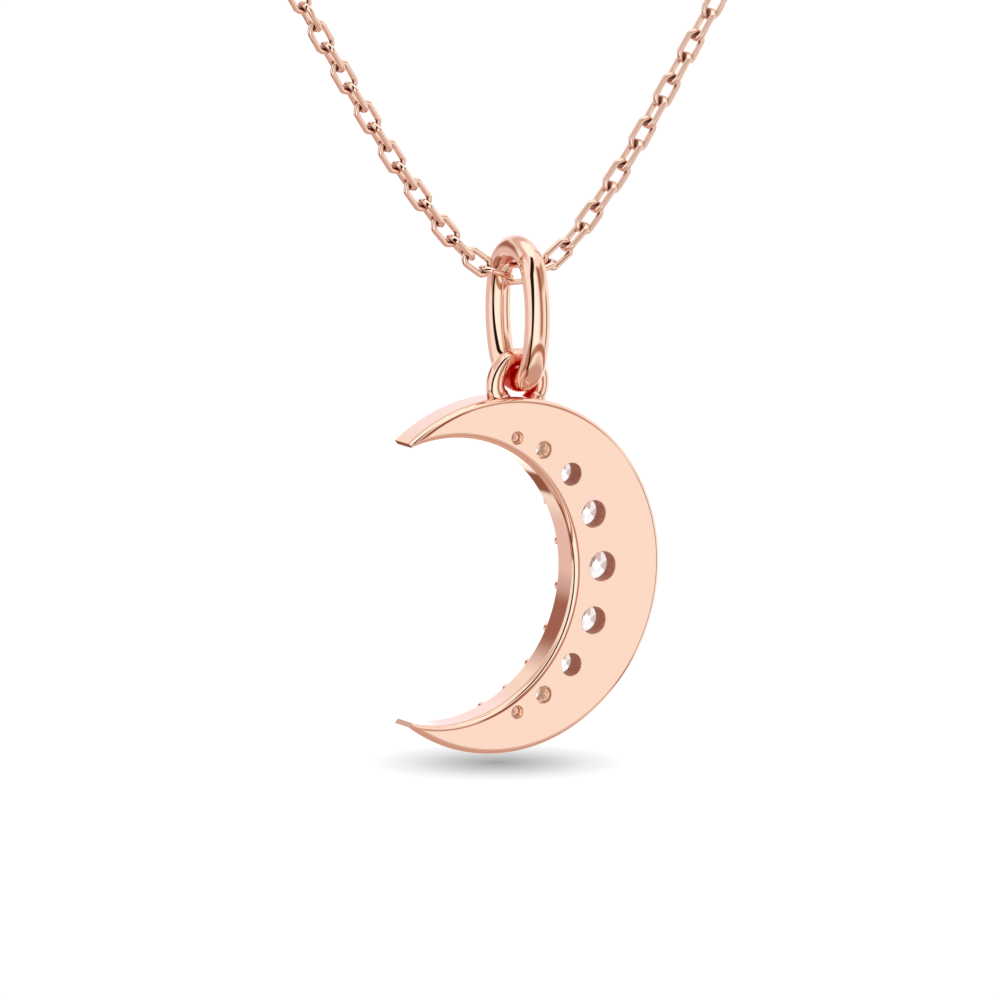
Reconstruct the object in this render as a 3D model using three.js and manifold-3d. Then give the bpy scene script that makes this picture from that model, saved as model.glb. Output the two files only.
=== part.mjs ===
// Crescent moon pendant on a fine cable chain, in rose gold with nine round diamonds.
//
// Millimetres, +Z up. The origin is the nape of the neck, where the clasp lies. The chain falls
// from there round both sides of the neck to the pendant, whose stone-set front faces -Y and whose
// polished back faces the wearer at +Y. The moon opens toward +X.

import * as THREE from "three";
import { mergeVertices } from "three/addons/utils/BufferGeometryUtils.js";
import Module from "manifold-3d";

const wasm = await Module();
wasm.setup();

// ---------------------------------------------------------------- driving dimensions
const GAP = 0.03; // running clearance between touching pieces

const MOON_RADIUS = 8; // outer circle of the crescent
const MOON_THICKNESS = 1.45;
const MOON_HOLLOW_X = 2.9; // the inner circle stands off centre by this much
const MOON_HOLLOW_RADIUS = 6.42;
const MOON_TIP_ANGLE = THREE.MathUtils.degToRad(52.6); // where the horns are cut blunt
const MOON_X = 1.02; // the soldered ring stands this far toward the closed side, to balance

const STONE_RING_X = 1.545; // the nine stones stand on a third circle
const STONE_RING_RADIUS = 6.52;
const STONE_SIZES = [1, 1.35, 1.75, 2.1, 2.3, 2.1, 1.75, 1.35, 1];
const STONE_ANGLES = [109, 122.3, 138.85, 158.4, 180, 201.6, 221.15, 237.7, 251];
const AZURE_RATIO = 0.58; // hole behind each stone, as a share of the stone
const GIRDLE_DEPTH = 0.11; // girdle below the front face, as a share of the stone
const GIRDLE_HEIGHT = 0.03;
const PAVILION_DEPTH = 0.43;
const CROWN_HEIGHT = 0.155;
const TABLE_RATIO = 0.57;
const PRONG_RADIUS = 0.24;
const PRONG_HEIGHT = 0.45;
const PRONG_ROOT = 0.3; // length of each prong inside the plate
const PRONG_MARGIN = 0.32; // prong centre from the crescent's inner edge

const LOOP_RADIUS = 1.15; // soldered ring, to the middle of its wire
const LOOP_WIRE = 0.8;
const LOOP_ABOVE_MOON = 8.52; // its centre above the middle of the outer circle

const BAIL_HALF_WIDTH = 1.72; // of the bail, to the middle of its wire
const BAIL_HEIGHT = 7.01; // outer height
const BAIL_END_RADIUS = 1.5; // its two round ends; its long sides bow out between them
const BAIL_WIRE = 1.13;
const BAIL_CLEARANCE = 0.07; // between the bail and the link that runs through it

const LINK_WIRE = 0.28;
const LINK_LENGTH = 1.69;
const LINK_WIDTH = 1.03;
const LINK_PITCH = 1.115;
const LINK_CORNERS = 8; // the links are long octagons
const LINKS_EACH_SIDE = 13; // modelled one by one on each side of the bail
const CHAIN_TUBE_RADIUS = 0.6; // of the plain eight-sided tube that holds the links further on

const CLASP_THICKNESS = 1.9;
const HOOK_THICKNESS = 1.4;
const LEVER_THICKNESS = 0.76;
const LEVER_SLOT = 0.9;
const PIN_RADIUS = 0.22;
const PIN_HOLE_RADIUS = 0.28;
const LEAF_THICKNESS = 0.1; // the spring leaf under the lever
const LEAF_WIDTH = 0.7;
const JUMP_RING_RADIUS = 1.25; // through the clasp's eye, to the middle of its wire
const END_RING_RADIUS = 1.6; // in the clasp's hook
const CLASP_RING_WIRE = 0.4; // thin enough for the chain's last link to run on it

// Half of the chain's course from the bail to the middle of its last link, which runs through a
// ring of the clasp, as [x, y, z]; the other half mirrors it.
const BAIL_POINT = [0, -101, -121.22];
const CHAIN_HALF = [
  [1.15, -101, -121.06],
  [2.6, -101, -120.12],
  [5.3, -101, -117.02],
  [9.3, -100.9, -111.1],
  [15.8, -100.2, -100.4],
  [26, -96, -81.5],
  [39.5, -85, -56],
  [53, -61.5, -27.5],
  [57, -36, -8.5],
  [47.5, -13, -0.8],
  [27.5, -2.2, 0.4],
  [6.565, 0, 0],
];

// ---------------------------------------------------------------- derived places
const mirrorX = ([x, y, z]) => [-x, y, z];
const chainPoints = [...CHAIN_HALF.map(mirrorX).reverse(), BAIL_POINT, ...CHAIN_HALF];
const chainRoute = new THREE.CatmullRomCurve3(
  chainPoints.map((point) => new THREE.Vector3(...point)),
  false,
  "centripetal",
);
chainRoute.arcLengthDivisions = 4000;

const pendantY = BAIL_POINT[1];
const bailTopWireZ = BAIL_POINT[2] + LINK_WIDTH / 2 + BAIL_CLEARANCE + BAIL_WIRE / 2;
const bailBottomWireZ = bailTopWireZ - (BAIL_HEIGHT - BAIL_WIRE);
const loopZ = bailBottomWireZ + BAIL_WIRE / 2 + GAP + LOOP_WIRE / 2 - LOOP_RADIUS;
const moonZ = loopZ - LOOP_ABOVE_MOON;
const moonBackY = pendantY + MOON_THICKNESS / 2;

// ---------------------------------------------------------------- materials
const ROSE_GOLD = { color: 0xe8b196, roughness: 0.08, metalness: 1 };
const DIAMOND = { color: 0xf4f7fb, roughness: 0.02, metalness: 0 };

// ---------------------------------------------------------------- small helpers
const necklace = new THREE.Group();

function addMesh(name, geometry, look, parent = necklace) {
  const mesh = new THREE.Mesh(geometry, new THREE.MeshStandardMaterial(look));
  mesh.name = name;
  parent.add(mesh);
  return mesh;
}

function toSolid(geometry) {
  const bare = geometry.clone();
  bare.deleteAttribute("normal");
  bare.deleteAttribute("uv");
  const merged = mergeVertices(bare, 1e-5);
  return new wasm.Manifold(new wasm.Mesh({
    numProp: 3,
    vertProperties: new Float32Array(merged.attributes.position.array),
    triVerts: new Uint32Array(merged.index.array),
  }));
}

function toGeometry(solid) {
  const mesh = solid.getMesh();
  const geometry = new THREE.BufferGeometry();
  geometry.setAttribute("position", new THREE.BufferAttribute(mesh.vertProperties, mesh.numProp));
  geometry.setIndex(new THREE.BufferAttribute(mesh.triVerts, 1));
  return geometry;
}

// A flat outline drawn in x and z, standing from y = back toward -Y.
function plate(shape, back, thickness, curveSegments = 24) {
  const geometry = new THREE.ExtrudeGeometry(shape, {
    depth: thickness, bevelEnabled: false, curveSegments,
  });
  return geometry.rotateX(Math.PI / 2).translate(0, back, 0);
}

function outline(points) {
  return new THREE.Shape(points.map(([x, z]) => new THREE.Vector2(x, z)));
}

// A round bar along Y through (x, z).
function barAlongY(radius, length, x, z, sides = 24) {
  return new THREE.CylinderGeometry(radius, radius, length, sides).translate(x, 0, z);
}

// A round-wire ring in the XY plane, pulled out along Y into an oval when stretch is above 0.
function wireRing(radius, wire, wireSides, ringSteps, stretch = 0) {
  const geometry = new THREE.TorusGeometry(radius, wire / 2, wireSides, ringSteps);
  geometry.rotateZ(Math.PI / ringSteps);
  const place = geometry.attributes.position;
  for (let i = 0; i < place.count; i += 1) {
    place.setY(i, place.getY(i) + Math.sign(place.getY(i)) * stretch);
  }
  return geometry;
}

// A round-wire ring in the XY plane whose middle line is four arcs: two round ends of endRadius and
// two long sides of a larger radius that meets them smoothly.
function ovalRing(halfWidth, halfLength, endRadius, wire, wireSides, ringSteps) {
  const sideRadius = (halfWidth ** 2 + halfLength ** 2 - 2 * halfLength * endRadius)
    / (2 * (halfWidth - endRadius));
  const sideCentre = sideRadius - halfWidth;
  const endCentre = halfLength - endRadius;
  const seam = Math.atan2(endCentre, sideCentre);
  const geometry = new THREE.TorusGeometry(endRadius, wire / 2, wireSides, ringSteps);
  geometry.rotateZ(Math.PI / ringSteps);
  const place = geometry.attributes.position;
  for (let i = 0; i < place.count; i += 1) {
    const reach = Math.hypot(place.getX(i), place.getY(i));
    const cos = place.getX(i) / reach;
    const sin = place.getY(i) / reach;
    const onSide = Math.atan2(Math.abs(sin), Math.abs(cos)) < seam;
    const radius = reach - endRadius + (onSide ? sideRadius : endRadius);
    place.setX(i, radius * cos - (onSide ? Math.sign(cos) * sideCentre : 0));
    place.setY(i, radius * sin + (onSide ? 0 : Math.sign(sin) * endCentre));
  }
  return geometry;
}

// ---------------------------------------------------------------- crescent casting
function stonePlaces() {
  return STONE_SIZES.map((size, i) => {
    const angle = THREE.MathUtils.degToRad(STONE_ANGLES[i]);
    return {
      size,
      x: STONE_RING_X + STONE_RING_RADIUS * Math.cos(angle),
      z: STONE_RING_RADIUS * Math.sin(angle),
    };
  });
}

function moonOutline() {
  const cosTip = Math.cos(MOON_TIP_ANGLE);
  const sinTip = Math.sin(MOON_TIP_ANGLE);
  const hollowCos = MOON_HOLLOW_X * cosTip;
  const reach = hollowCos
    + Math.sqrt(hollowCos ** 2 - MOON_HOLLOW_X ** 2 + MOON_HOLLOW_RADIUS ** 2);
  const hollowAngle = Math.atan2(reach * sinTip, reach * cosTip - MOON_HOLLOW_X);
  const shape = new THREE.Shape();
  shape.absarc(0, 0, MOON_RADIUS, MOON_TIP_ANGLE, 2 * Math.PI - MOON_TIP_ANGLE, false);
  shape.absarc(MOON_HOLLOW_X, 0, MOON_HOLLOW_RADIUS, 2 * Math.PI - hollowAngle, hollowAngle, true);
  shape.closePath();
  return shape;
}

// The space that one stone needs: a straight azure from the back, a cone under the stone's
// pavilion, and a round well for its girdle and crown.
function seatCutter({ size, x, z }) {
  const wellRadius = size / 2 + GAP;
  const azureRadius = (AZURE_RATIO * size) / 2;
  const front = -MOON_THICKNESS;
  const girdleY = front + GIRDLE_DEPTH * size;
  const slope = PAVILION_DEPTH / 0.5;
  const coneEndY = girdleY + (wellRadius - azureRadius) * slope;
  const past = 1;
  const profile = [
    [0, front - past], [wellRadius, front - past], [wellRadius, girdleY],
    [azureRadius, coneEndY], [azureRadius, past], [0, past],
  ].map(([r, y]) => new THREE.Vector2(r, y));
  return toSolid(new THREE.LatheGeometry(profile, 28).translate(x, 0, z));
}

// Shared prongs stand in pairs in each gap between two stones, and one pair past each end.
function prongPlaces(stones) {
  const ends = [2 * STONE_ANGLES[0] - STONE_ANGLES[1], 2 * STONE_ANGLES[8] - STONE_ANGLES[7]];
  const gaps = STONE_ANGLES.slice(1).map((angle, i) => (angle + STONE_ANGLES[i]) / 2);
  const endGaps = ends.map((end, i) => (end + STONE_ANGLES[i === 0 ? 0 : 8]) / 2);
  const angles = [endGaps[0], ...gaps, endGaps[1]];
  return angles.flatMap((degrees, i) => {
    const angle = THREE.MathUtils.degToRad(degrees);
    const x = STONE_RING_X + STONE_RING_RADIUS * Math.cos(angle);
    const z = STONE_RING_RADIUS * Math.sin(angle);
    const toEdge = Math.hypot(x - MOON_HOLLOW_X, z) - MOON_HOLLOW_RADIUS;
    const atEnd = i === 0 || i === angles.length - 1;
    const offset = atEnd ? 0.5 * toEdge : toEdge - PRONG_MARGIN;
    return [-offset, offset].map((step) => ({
      x: x + step * Math.cos(angle),
      z: z + step * Math.sin(angle),
    }));
  }).filter(({ x, z }) => stones.every((stone) =>
    Math.hypot(stone.x - x, stone.z - z) > stone.size / 2 + GAP + PRONG_RADIUS / 2));
}

function addCrescent(moon) {
  const stones = stonePlaces();
  let casting = toSolid(plate(moonOutline(), 0, MOON_THICKNESS, 56));
  for (const { x, z } of prongPlaces(stones)) {
    const prong = barAlongY(PRONG_RADIUS, PRONG_HEIGHT + PRONG_ROOT, x, z, 8);
    prong.translate(0, -MOON_THICKNESS - (PRONG_HEIGHT - PRONG_ROOT) / 2, 0);
    casting = casting.add(toSolid(prong));
  }
  for (const stone of stones) casting = casting.subtract(seatCutter(stone));
  addMesh("crescent", toGeometry(casting), ROSE_GOLD, moon);
}

// A round brilliant reduced to its culet, girdle and table, point toward the back.
function addDiamonds(moon) {
  stonePlaces().forEach(({ size, x, z }, i) => {
    const girdleY = -MOON_THICKNESS + GIRDLE_DEPTH * size;
    const girdle = size / 2;
    const profile = [
      [0, girdleY - (GIRDLE_HEIGHT + CROWN_HEIGHT) * size],
      [TABLE_RATIO * girdle, girdleY - (GIRDLE_HEIGHT + CROWN_HEIGHT) * size],
      [girdle, girdleY - GIRDLE_HEIGHT * size],
      [girdle, girdleY - GAP],
      [0, girdleY + PAVILION_DEPTH * size - GAP],
    ].map(([r, y]) => new THREE.Vector2(r, y));
    const stone = addMesh(`diamond_${i + 1}`, new THREE.LatheGeometry(profile, 16), DIAMOND, moon);
    stone.position.set(x, 0, z);
  });
}

// The small ring soldered to the top of the moon, cut to the moon's rim.
function addLoop(moon) {
  const ring = wireRing(LOOP_RADIUS, LOOP_WIRE, 12, 32).rotateX(Math.PI / 2);
  ring.translate(-MOON_X, -MOON_THICKNESS / 2, LOOP_ABOVE_MOON);
  const rim = barAlongY(MOON_RADIUS + GAP, 4 * LOOP_WIRE, 0, 0, 200);
  rim.translate(0, -MOON_THICKNESS / 2, 0);
  addMesh("crescent_loop", toGeometry(toSolid(ring).subtract(toSolid(rim))), ROSE_GOLD, moon);
}

// ---------------------------------------------------------------- bail
function addBail() {
  const halfHeight = (BAIL_HEIGHT - BAIL_WIRE) / 2;
  const ring = ovalRing(BAIL_HALF_WIDTH, halfHeight, BAIL_END_RADIUS, BAIL_WIRE, 12, 40);
  ring.rotateX(Math.PI / 2).rotateZ(Math.PI / 2);
  const bail = addMesh("bail_ring", ring, ROSE_GOLD);
  bail.position.set(0, pendantY, (bailTopWireZ + bailBottomWireZ) / 2);
}

// ---------------------------------------------------------------- chain
const routeLength = chainRoute.getLength();
const middle = routeLength / 2;

// Each link lies along the route, this far from the bail; flat links lie in the plane of the moon,
// and the others stand square to it.
function addLink(name, fromBail, flat) {
  const share = (middle + fromBail) / routeLength;
  const along = chainRoute.getTangentAt(share);
  const across = new THREE.Vector3(0, 1, 0).cross(along).normalize();
  const out = new THREE.Vector3().crossVectors(across, along);
  const width = flat ? across : out;
  const face = new THREE.Vector3().crossVectors(width, along);
  const stretch = (LINK_LENGTH - LINK_WIDTH) / 2;
  const toCorner = (LINK_WIDTH - LINK_WIRE) / 2 / Math.cos(Math.PI / LINK_CORNERS);
  const ring = wireRing(toCorner, LINK_WIRE, 8, LINK_CORNERS, stretch);
  const link = addMesh(name, ring, ROSE_GOLD);
  link.quaternion.setFromRotationMatrix(new THREE.Matrix4().makeBasis(width, along, face));
  link.position.copy(chainRoute.getPointAt(share));
}

class RouteStretch extends THREE.Curve {
  constructor(from, to) {
    super();
    this.from = from;
    this.to = to;
  }

  getPoint(t, target = new THREE.Vector3()) {
    return chainRoute.getPointAt(this.from + (this.to - this.from) * t, target);
  }
}

// The rest of each side, as the envelope of its links.
function addChainSide(name, fromLength, toLength) {
  const section = new THREE.Shape();
  section.absarc(0, 0, CHAIN_TUBE_RADIUS, 0, 2 * Math.PI, false);
  const tube = new THREE.ExtrudeGeometry(section, {
    steps: 72,
    curveSegments: 4,
    bevelEnabled: false,
    extrudePath: new RouteStretch(fromLength / routeLength, toLength / routeLength),
  });
  addMesh(name, tube, ROSE_GOLD);
}

function addChain() {
  addLink("link_centre", 0, true);
  for (let step = 1; step <= LINKS_EACH_SIDE; step += 1) {
    const flat = step % 2 === 0;
    addLink(`link_left_${step}`, step * LINK_PITCH, flat);
    addLink(`link_right_${step}`, -step * LINK_PITCH, flat);
  }
  const tubeStart = LINKS_EACH_SIDE * LINK_PITCH + LINK_LENGTH / 2 + GAP;
  const tubeEnd = middle - LINK_LENGTH / 2 - GAP;
  addChainSide("chain_left", middle + tubeStart, middle + tubeEnd);
  addChainSide("chain_right", middle - tubeStart, middle - tubeEnd);
  addLink("link_left_end", middle, true);
  addLink("link_right_end", -middle, true);
}

// ---------------------------------------------------------------- lobster clasp
const HOOK = { x: -2.1, outer: 2.05, inner: 1.15 };
const EYE = { x: 3.85, outer: 0.95, inner: 0.45 };
const PIVOT = { x: 1.2, z: 0.95 };
const EYE_THICKNESS = 1;
const LEVER_HUB_RADIUS = 0.5;
const END_RING_X = -4.51; // middle of the end ring
const CLASP_X = -0.12; // the clasp's own origin, which centres its rings between the last links

function addClaspBody(clasp) {
  const tail = outline([
    [-1.2, -1.95], [0.8, -1.75], [3.2, -0.7], [3.4, 0], [3.2, 0.7], [2.4, 1.5], [0.4, 1.75],
    [-0.3, 1.3], [-0.6, 0.3],
  ]);
  const mouth = outline([[-2.4, 0], [-0.35, 0], [-0.35, 2.5], [-2.4, 2.5]]);
  const slot = outline([[-1.2, -0.2], [2.3, -0.2], [2.3, 3], [-1.2, 3]]);
  const half = CLASP_THICKNESS / 2;
  const hollowDepth = 2 * CLASP_THICKNESS;
  let body = toSolid(barAlongY(HOOK.outer, HOOK_THICKNESS, HOOK.x, 0, 36))
    .add(toSolid(plate(tail, half, CLASP_THICKNESS)))
    .add(toSolid(barAlongY(EYE.outer, EYE_THICKNESS, EYE.x, 0, 24)));
  const cuts = [
    barAlongY(HOOK.inner, hollowDepth, HOOK.x, 0, 28),
    barAlongY(EYE.inner, hollowDepth, EYE.x, 0, 16),
    barAlongY(PIN_HOLE_RADIUS, hollowDepth, PIVOT.x, PIVOT.z, 12),
    plate(mouth, hollowDepth / 2, hollowDepth),
    plate(slot, LEVER_SLOT / 2, LEVER_SLOT),
  ];
  for (const cut of cuts) body = body.subtract(toSolid(cut));
  addMesh("clasp_body", toGeometry(body), ROSE_GOLD, clasp);
}

// The gate of the clasp with its thumb tab; it swings down into the hook.
function addClaspLever(clasp) {
  const arm = outline([
    [1.2, 0.45], [1.2, 1.45], [0.2, 1.55], [-1, 1.78], [-2.2, 1.75], [-2.25, 1.25],
    [-0.9, 1.15], [0.3, 0.75],
  ]);
  const tab = outline([[0.85, 1.3], [1.65, 1.2], [2.1, 2.25], [1.7, 2.5]]);
  const half = LEVER_THICKNESS / 2;
  const lever = toSolid(plate(arm, half, LEVER_THICKNESS))
    .add(toSolid(plate(tab, half, LEVER_THICKNESS)))
    .add(toSolid(barAlongY(LEVER_HUB_RADIUS, LEVER_THICKNESS, PIVOT.x, PIVOT.z, 20)))
    .subtract(toSolid(barAlongY(PIN_HOLE_RADIUS, 2 * LEVER_THICKNESS, PIVOT.x, PIVOT.z, 12)));
  addMesh("clasp_lever", toGeometry(lever), ROSE_GOLD, clasp);
}

function addClaspSmallParts(clasp) {
  const pin = barAlongY(PIN_RADIUS, CLASP_THICKNESS, PIVOT.x, PIVOT.z, 12);
  addMesh("clasp_pin", pin, ROSE_GOLD, clasp);
  const seat = -0.16;
  const top = seat + LEAF_THICKNESS;
  const leaf = outline([
    [0.5, seat], [2.15, seat], [2.15, top], [1, 0.32], [0.95, 0.24], [1.85, top], [0.5, top],
  ]);
  addMesh("clasp_spring", plate(leaf, LEAF_WIDTH / 2, LEAF_WIDTH), ROSE_GOLD, clasp);
}

// The two round rings that tie the clasp into the chain, lying flat across the clasp.
function addClaspRings(clasp) {
  const jumpWire = wireRing(JUMP_RING_RADIUS, CLASP_RING_WIRE, 8, 24);
  addMesh("clasp_jump_ring", jumpWire, ROSE_GOLD, clasp).position.x = EYE.x + JUMP_RING_RADIUS;
  const endWire = wireRing(END_RING_RADIUS, CLASP_RING_WIRE, 8, 28);
  addMesh("end_ring", endWire, ROSE_GOLD, clasp).position.x = END_RING_X;
}

function addClasp() {
  const clasp = new THREE.Group();
  clasp.position.x = CLASP_X;
  addClaspBody(clasp);
  addClaspLever(clasp);
  addClaspSmallParts(clasp);
  addClaspRings(clasp);
  necklace.add(clasp);
}

// ---------------------------------------------------------------- assembly
const moon = new THREE.Group();
moon.position.set(MOON_X, moonBackY, moonZ);
addCrescent(moon);
addDiamonds(moon);
addLoop(moon);
necklace.add(moon);
addBail();
addChain();
addClasp();

export default necklace;
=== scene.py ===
"""Looks for the crescent moon necklace: polished rose gold, brilliant-cut diamonds, white studio.

Every piece is built in millimetres in the model's own frame and scaled to metres when its mesh is
made. Sizes repeat the CAD model's driving dimensions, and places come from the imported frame.
"""

import math

import bmesh
import bpy
from mathutils import Matrix, Vector


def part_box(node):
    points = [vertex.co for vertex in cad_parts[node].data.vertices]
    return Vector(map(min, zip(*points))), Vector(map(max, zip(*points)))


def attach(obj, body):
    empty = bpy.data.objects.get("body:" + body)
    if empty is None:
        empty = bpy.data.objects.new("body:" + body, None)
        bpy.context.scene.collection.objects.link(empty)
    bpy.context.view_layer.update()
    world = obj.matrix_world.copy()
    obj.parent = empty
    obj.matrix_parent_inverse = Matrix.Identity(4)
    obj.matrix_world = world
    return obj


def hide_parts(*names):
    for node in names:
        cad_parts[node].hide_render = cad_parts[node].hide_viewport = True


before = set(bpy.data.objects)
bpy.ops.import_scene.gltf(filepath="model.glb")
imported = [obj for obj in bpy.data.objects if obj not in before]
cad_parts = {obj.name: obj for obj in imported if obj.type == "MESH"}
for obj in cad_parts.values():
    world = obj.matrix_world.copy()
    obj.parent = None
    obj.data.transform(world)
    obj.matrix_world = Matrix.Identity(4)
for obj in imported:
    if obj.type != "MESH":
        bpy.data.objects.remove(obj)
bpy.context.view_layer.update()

MM = 0.001

# ---------------------------------------------------------------- sizes shared with the CAD model
GAP = 0.03
MOON_RADIUS = 8.0
MOON_THICKNESS = 1.45
MOON_HOLLOW_X = 2.9
MOON_HOLLOW_RADIUS = 6.42
MOON_TIP_ANGLE = math.radians(52.6)
STONE_RING_X = 1.545
STONE_RING_RADIUS = 6.52
STONE_SIZES = (1, 1.35, 1.75, 2.1, 2.3, 2.1, 1.75, 1.35, 1)
STONE_ANGLES = (109, 122.3, 138.85, 158.4, 180, 201.6, 221.15, 237.7, 251)
AZURE_RATIO = 0.58
GIRDLE_DEPTH = 0.11
GIRDLE_HEIGHT = 0.03
PAVILION_DEPTH = 0.43
CROWN_HEIGHT = 0.155
TABLE_RATIO = 0.57
PRONG_RADIUS = 0.24
PRONG_HEIGHT = 0.45
PRONG_ROOT = 0.3
PRONG_MARGIN = 0.32
LOOP_RADIUS = 1.15
LOOP_WIRE = 0.8
BAIL_HALF_WIDTH = 1.72
BAIL_HEIGHT = 7.01
BAIL_END_RADIUS = 1.5
BAIL_WIRE = 1.13
LINK_WIRE = 0.28
LINK_LENGTH = 1.69
LINK_WIDTH = 1.03
LINK_PITCH = 1.115
LINK_CORNERS = 8
LINKS_EACH_SIDE = 13
CLASP_RING_WIRE = 0.4

# Half of the chain's course from the bail to the middle of its last link; the other half mirrors it.
BAIL_POINT = (0, -101, -121.22)
CHAIN_HALF = (
    (1.15, -101, -121.06),
    (2.6, -101, -120.12),
    (5.3, -101, -117.02),
    (9.3, -100.9, -111.1),
    (15.8, -100.2, -100.4),
    (26, -96, -81.5),
    (39.5, -85, -56),
    (53, -61.5, -27.5),
    (57, -36, -8.5),
    (47.5, -13, -0.8),
    (27.5, -2.2, 0.4),
    (6.565, 0, 0),
)

# ---------------------------------------------------------------- sizes of the fine surface
BACK_EDGE = 0.3  # rounding round the crescent's polished back
FRONT_EDGE = 0.08
HOLE_EDGE = 0.025
HOLE_EDGE_STEPS = 4
# Satin seat walls are painted darker than the gold, as painted shade inside the holes.
LARGEST_BRIGHT_SEAT = 1.4  # holes of larger stones have satin walls, smaller ones are bright
SUPPORT = 0.008  # narrow flat strip beside a rounding, which keeps the flats mirror-flat
HOLE_STEPS = 56  # points round each hole and seat
SAME_POINT = 1e-3  # corners of an outline closer than this are one corner
WELD = 1e-4  # vertices closer than this are joined
SOLDER_FLARE = 0.3  # how much the loop's wire swells at its foot, as a share
SOLDER_FADE = 0.16  # height over which the swelling fades
SOLDER_HEIGHT = 0.9  # the wire is plain above this
LARGEST_FLARE = 1.22
NEAR_LINK_DETAIL = (5, 20)  # steps round each bend, sides of the wire
FAR_LINK_DETAIL = (1, 8)
BAIL_DETAIL = (160, 48)  # steps round the ring, sides of the wire
CLASP_RING_DETAIL = (96, 24)
LINK_BEND = 0.083  # how far from each corner of a link its wire starts to bend
CLASP_EDGE = 0.13  # rounding of the clasp's edges
CLASP_CORNER = math.radians(35)  # edges of the clasp sharper than this are rounded
CLASP_CREASE = math.radians(32)  # and what is still sharper than this afterward stays crisp
FLAT_CHEEK = 0.9999  # a face of the clasp that points this squarely along Y is a flat


# ---------------------------------------------------------------- mesh helpers
def make_piece(name, verts, faces, sharp_angle=None):
    """An object from vertices in millimetres, shaded smooth up to sharp_angle degrees."""
    mesh = bpy.data.meshes.new(name)
    mesh.from_pydata([[c * MM for c in v] for v in verts], [], faces)
    finish_mesh(mesh, sharp_angle)
    piece = bpy.data.objects.new(name, mesh)
    bpy.context.collection.objects.link(piece)
    return piece


def finish_mesh(mesh, sharp_angle):
    """Points every face outward and sets which edges stay crisp."""
    work = bmesh.new()
    work.from_mesh(mesh)
    bmesh.ops.recalc_face_normals(work, faces=work.faces)
    work.to_mesh(mesh)
    work.free()
    mesh.shade_smooth()
    if sharp_angle is not None:
        mesh.set_sharp_from_angle(angle=math.radians(sharp_angle))


def bridge(faces, first, second):
    """Quads between two closed loops of vertex numbers."""
    count = len(first)
    for i in range(count):
        j = (i + 1) % count
        faces.append((first[i], first[j], second[j], second[i]))


def add_loop(verts, points):
    """Adds the points to verts and returns their numbers."""
    start = len(verts)
    verts.extend(points)
    return list(range(start, len(verts)))


def circle(radius, steps, turn=0.0):
    """Points round a circle, counter-clockwise."""
    angles = [turn + 2 * math.pi * i / steps for i in range(steps)]
    return [(radius * math.cos(a), radius * math.sin(a)) for a in angles]


def quarter_round(radius, steps):
    """Steps round a quarter circle, as (distance in from the edge, depth below the flat)."""
    angles = [math.pi / 2 * i / steps for i in range(steps + 1)]
    return [(radius * (1 - math.sin(a)), radius * (1 - math.cos(a))) for a in angles]


# ---------------------------------------------------------------- the chain's course
def centripetal_segment(p0, p1, p2, p3, t):
    """A point on the centripetal Catmull-Rom curve between p1 and p2."""
    d0 = max((p1 - p0).length ** 0.5, 1e-4)
    d1 = (p2 - p1).length ** 0.5
    d2 = max((p3 - p2).length ** 0.5, 1e-4)
    m1 = ((p1 - p0) / d0 - (p2 - p0) / (d0 + d1) + (p2 - p1) / d1) * d1
    m2 = ((p2 - p1) / d1 - (p3 - p1) / (d1 + d2) + (p3 - p2) / d2) * d1
    return (
        p1
        + m1 * t
        + (-3 * p1 + 3 * p2 - 2 * m1 - m2) * t ** 2
        + (2 * p1 - 2 * p2 + m1 + m2) * t ** 3
    )


class Route:
    """The chain's course with places found by length along it, from the bail outward."""

    def __init__(self, samples_per_span=160):
        right = [Vector((-x, y, z)) for x, y, z in reversed(CHAIN_HALF)]
        left = [Vector(p) for p in CHAIN_HALF]
        points = right + [Vector(BAIL_POINT)] + left
        ends = [2 * points[0] - points[1]] + points + [2 * points[-1] - points[-2]]
        self.samples = [points[0]]
        for i in range(len(points) - 1):
            for k in range(1, samples_per_span + 1):
                t = k / samples_per_span
                self.samples.append(centripetal_segment(*ends[i:i + 4], t))
        self.lengths = [0.0]
        for a, b in zip(self.samples, self.samples[1:]):
            self.lengths.append(self.lengths[-1] + (b - a).length)
        self.middle = self.lengths[-1] / 2

    def place(self, from_bail):
        """Point and direction at a length from the bail; positive is the wearer's left."""
        wanted = min(max(self.middle + from_bail, 0.0), self.lengths[-1] - 1e-6)
        low, high = 0, len(self.lengths) - 1
        while high - low > 1:
            mid = (low + high) // 2
            if self.lengths[mid] <= wanted:
                low = mid
            else:
                high = mid
        a, b = self.samples[low], self.samples[high]
        share = (wanted - self.lengths[low]) / (self.lengths[high] - self.lengths[low])
        return a.lerp(b, share), (b - a).normalized()


route = Route()


# ---------------------------------------------------------------- wire rings and links
def sweep_wire(middle_line, wire_radius, wire_sides):
    """Vertices and faces of round wire along a closed line of (point, direction) in XY."""
    verts, faces, loops = [], [], []
    for point, along in middle_line:
        out = Vector((along.y, -along.x, 0))
        loops.append(add_loop(verts, [
            point + out * c + Vector((0, 0, s)) for c, s in circle(wire_radius, wire_sides)
        ]))
    for i, loop in enumerate(loops):
        bridge(faces, loop, loops[(i + 1) % len(loops)])
    return verts, faces


def round_line(radius, steps):
    """A circle as a line of (point, direction)."""
    line = []
    for c, s in circle(1, steps):
        line.append((Vector((c, s, 0)) * radius, Vector((-s, c, 0))))
    return line


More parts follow.
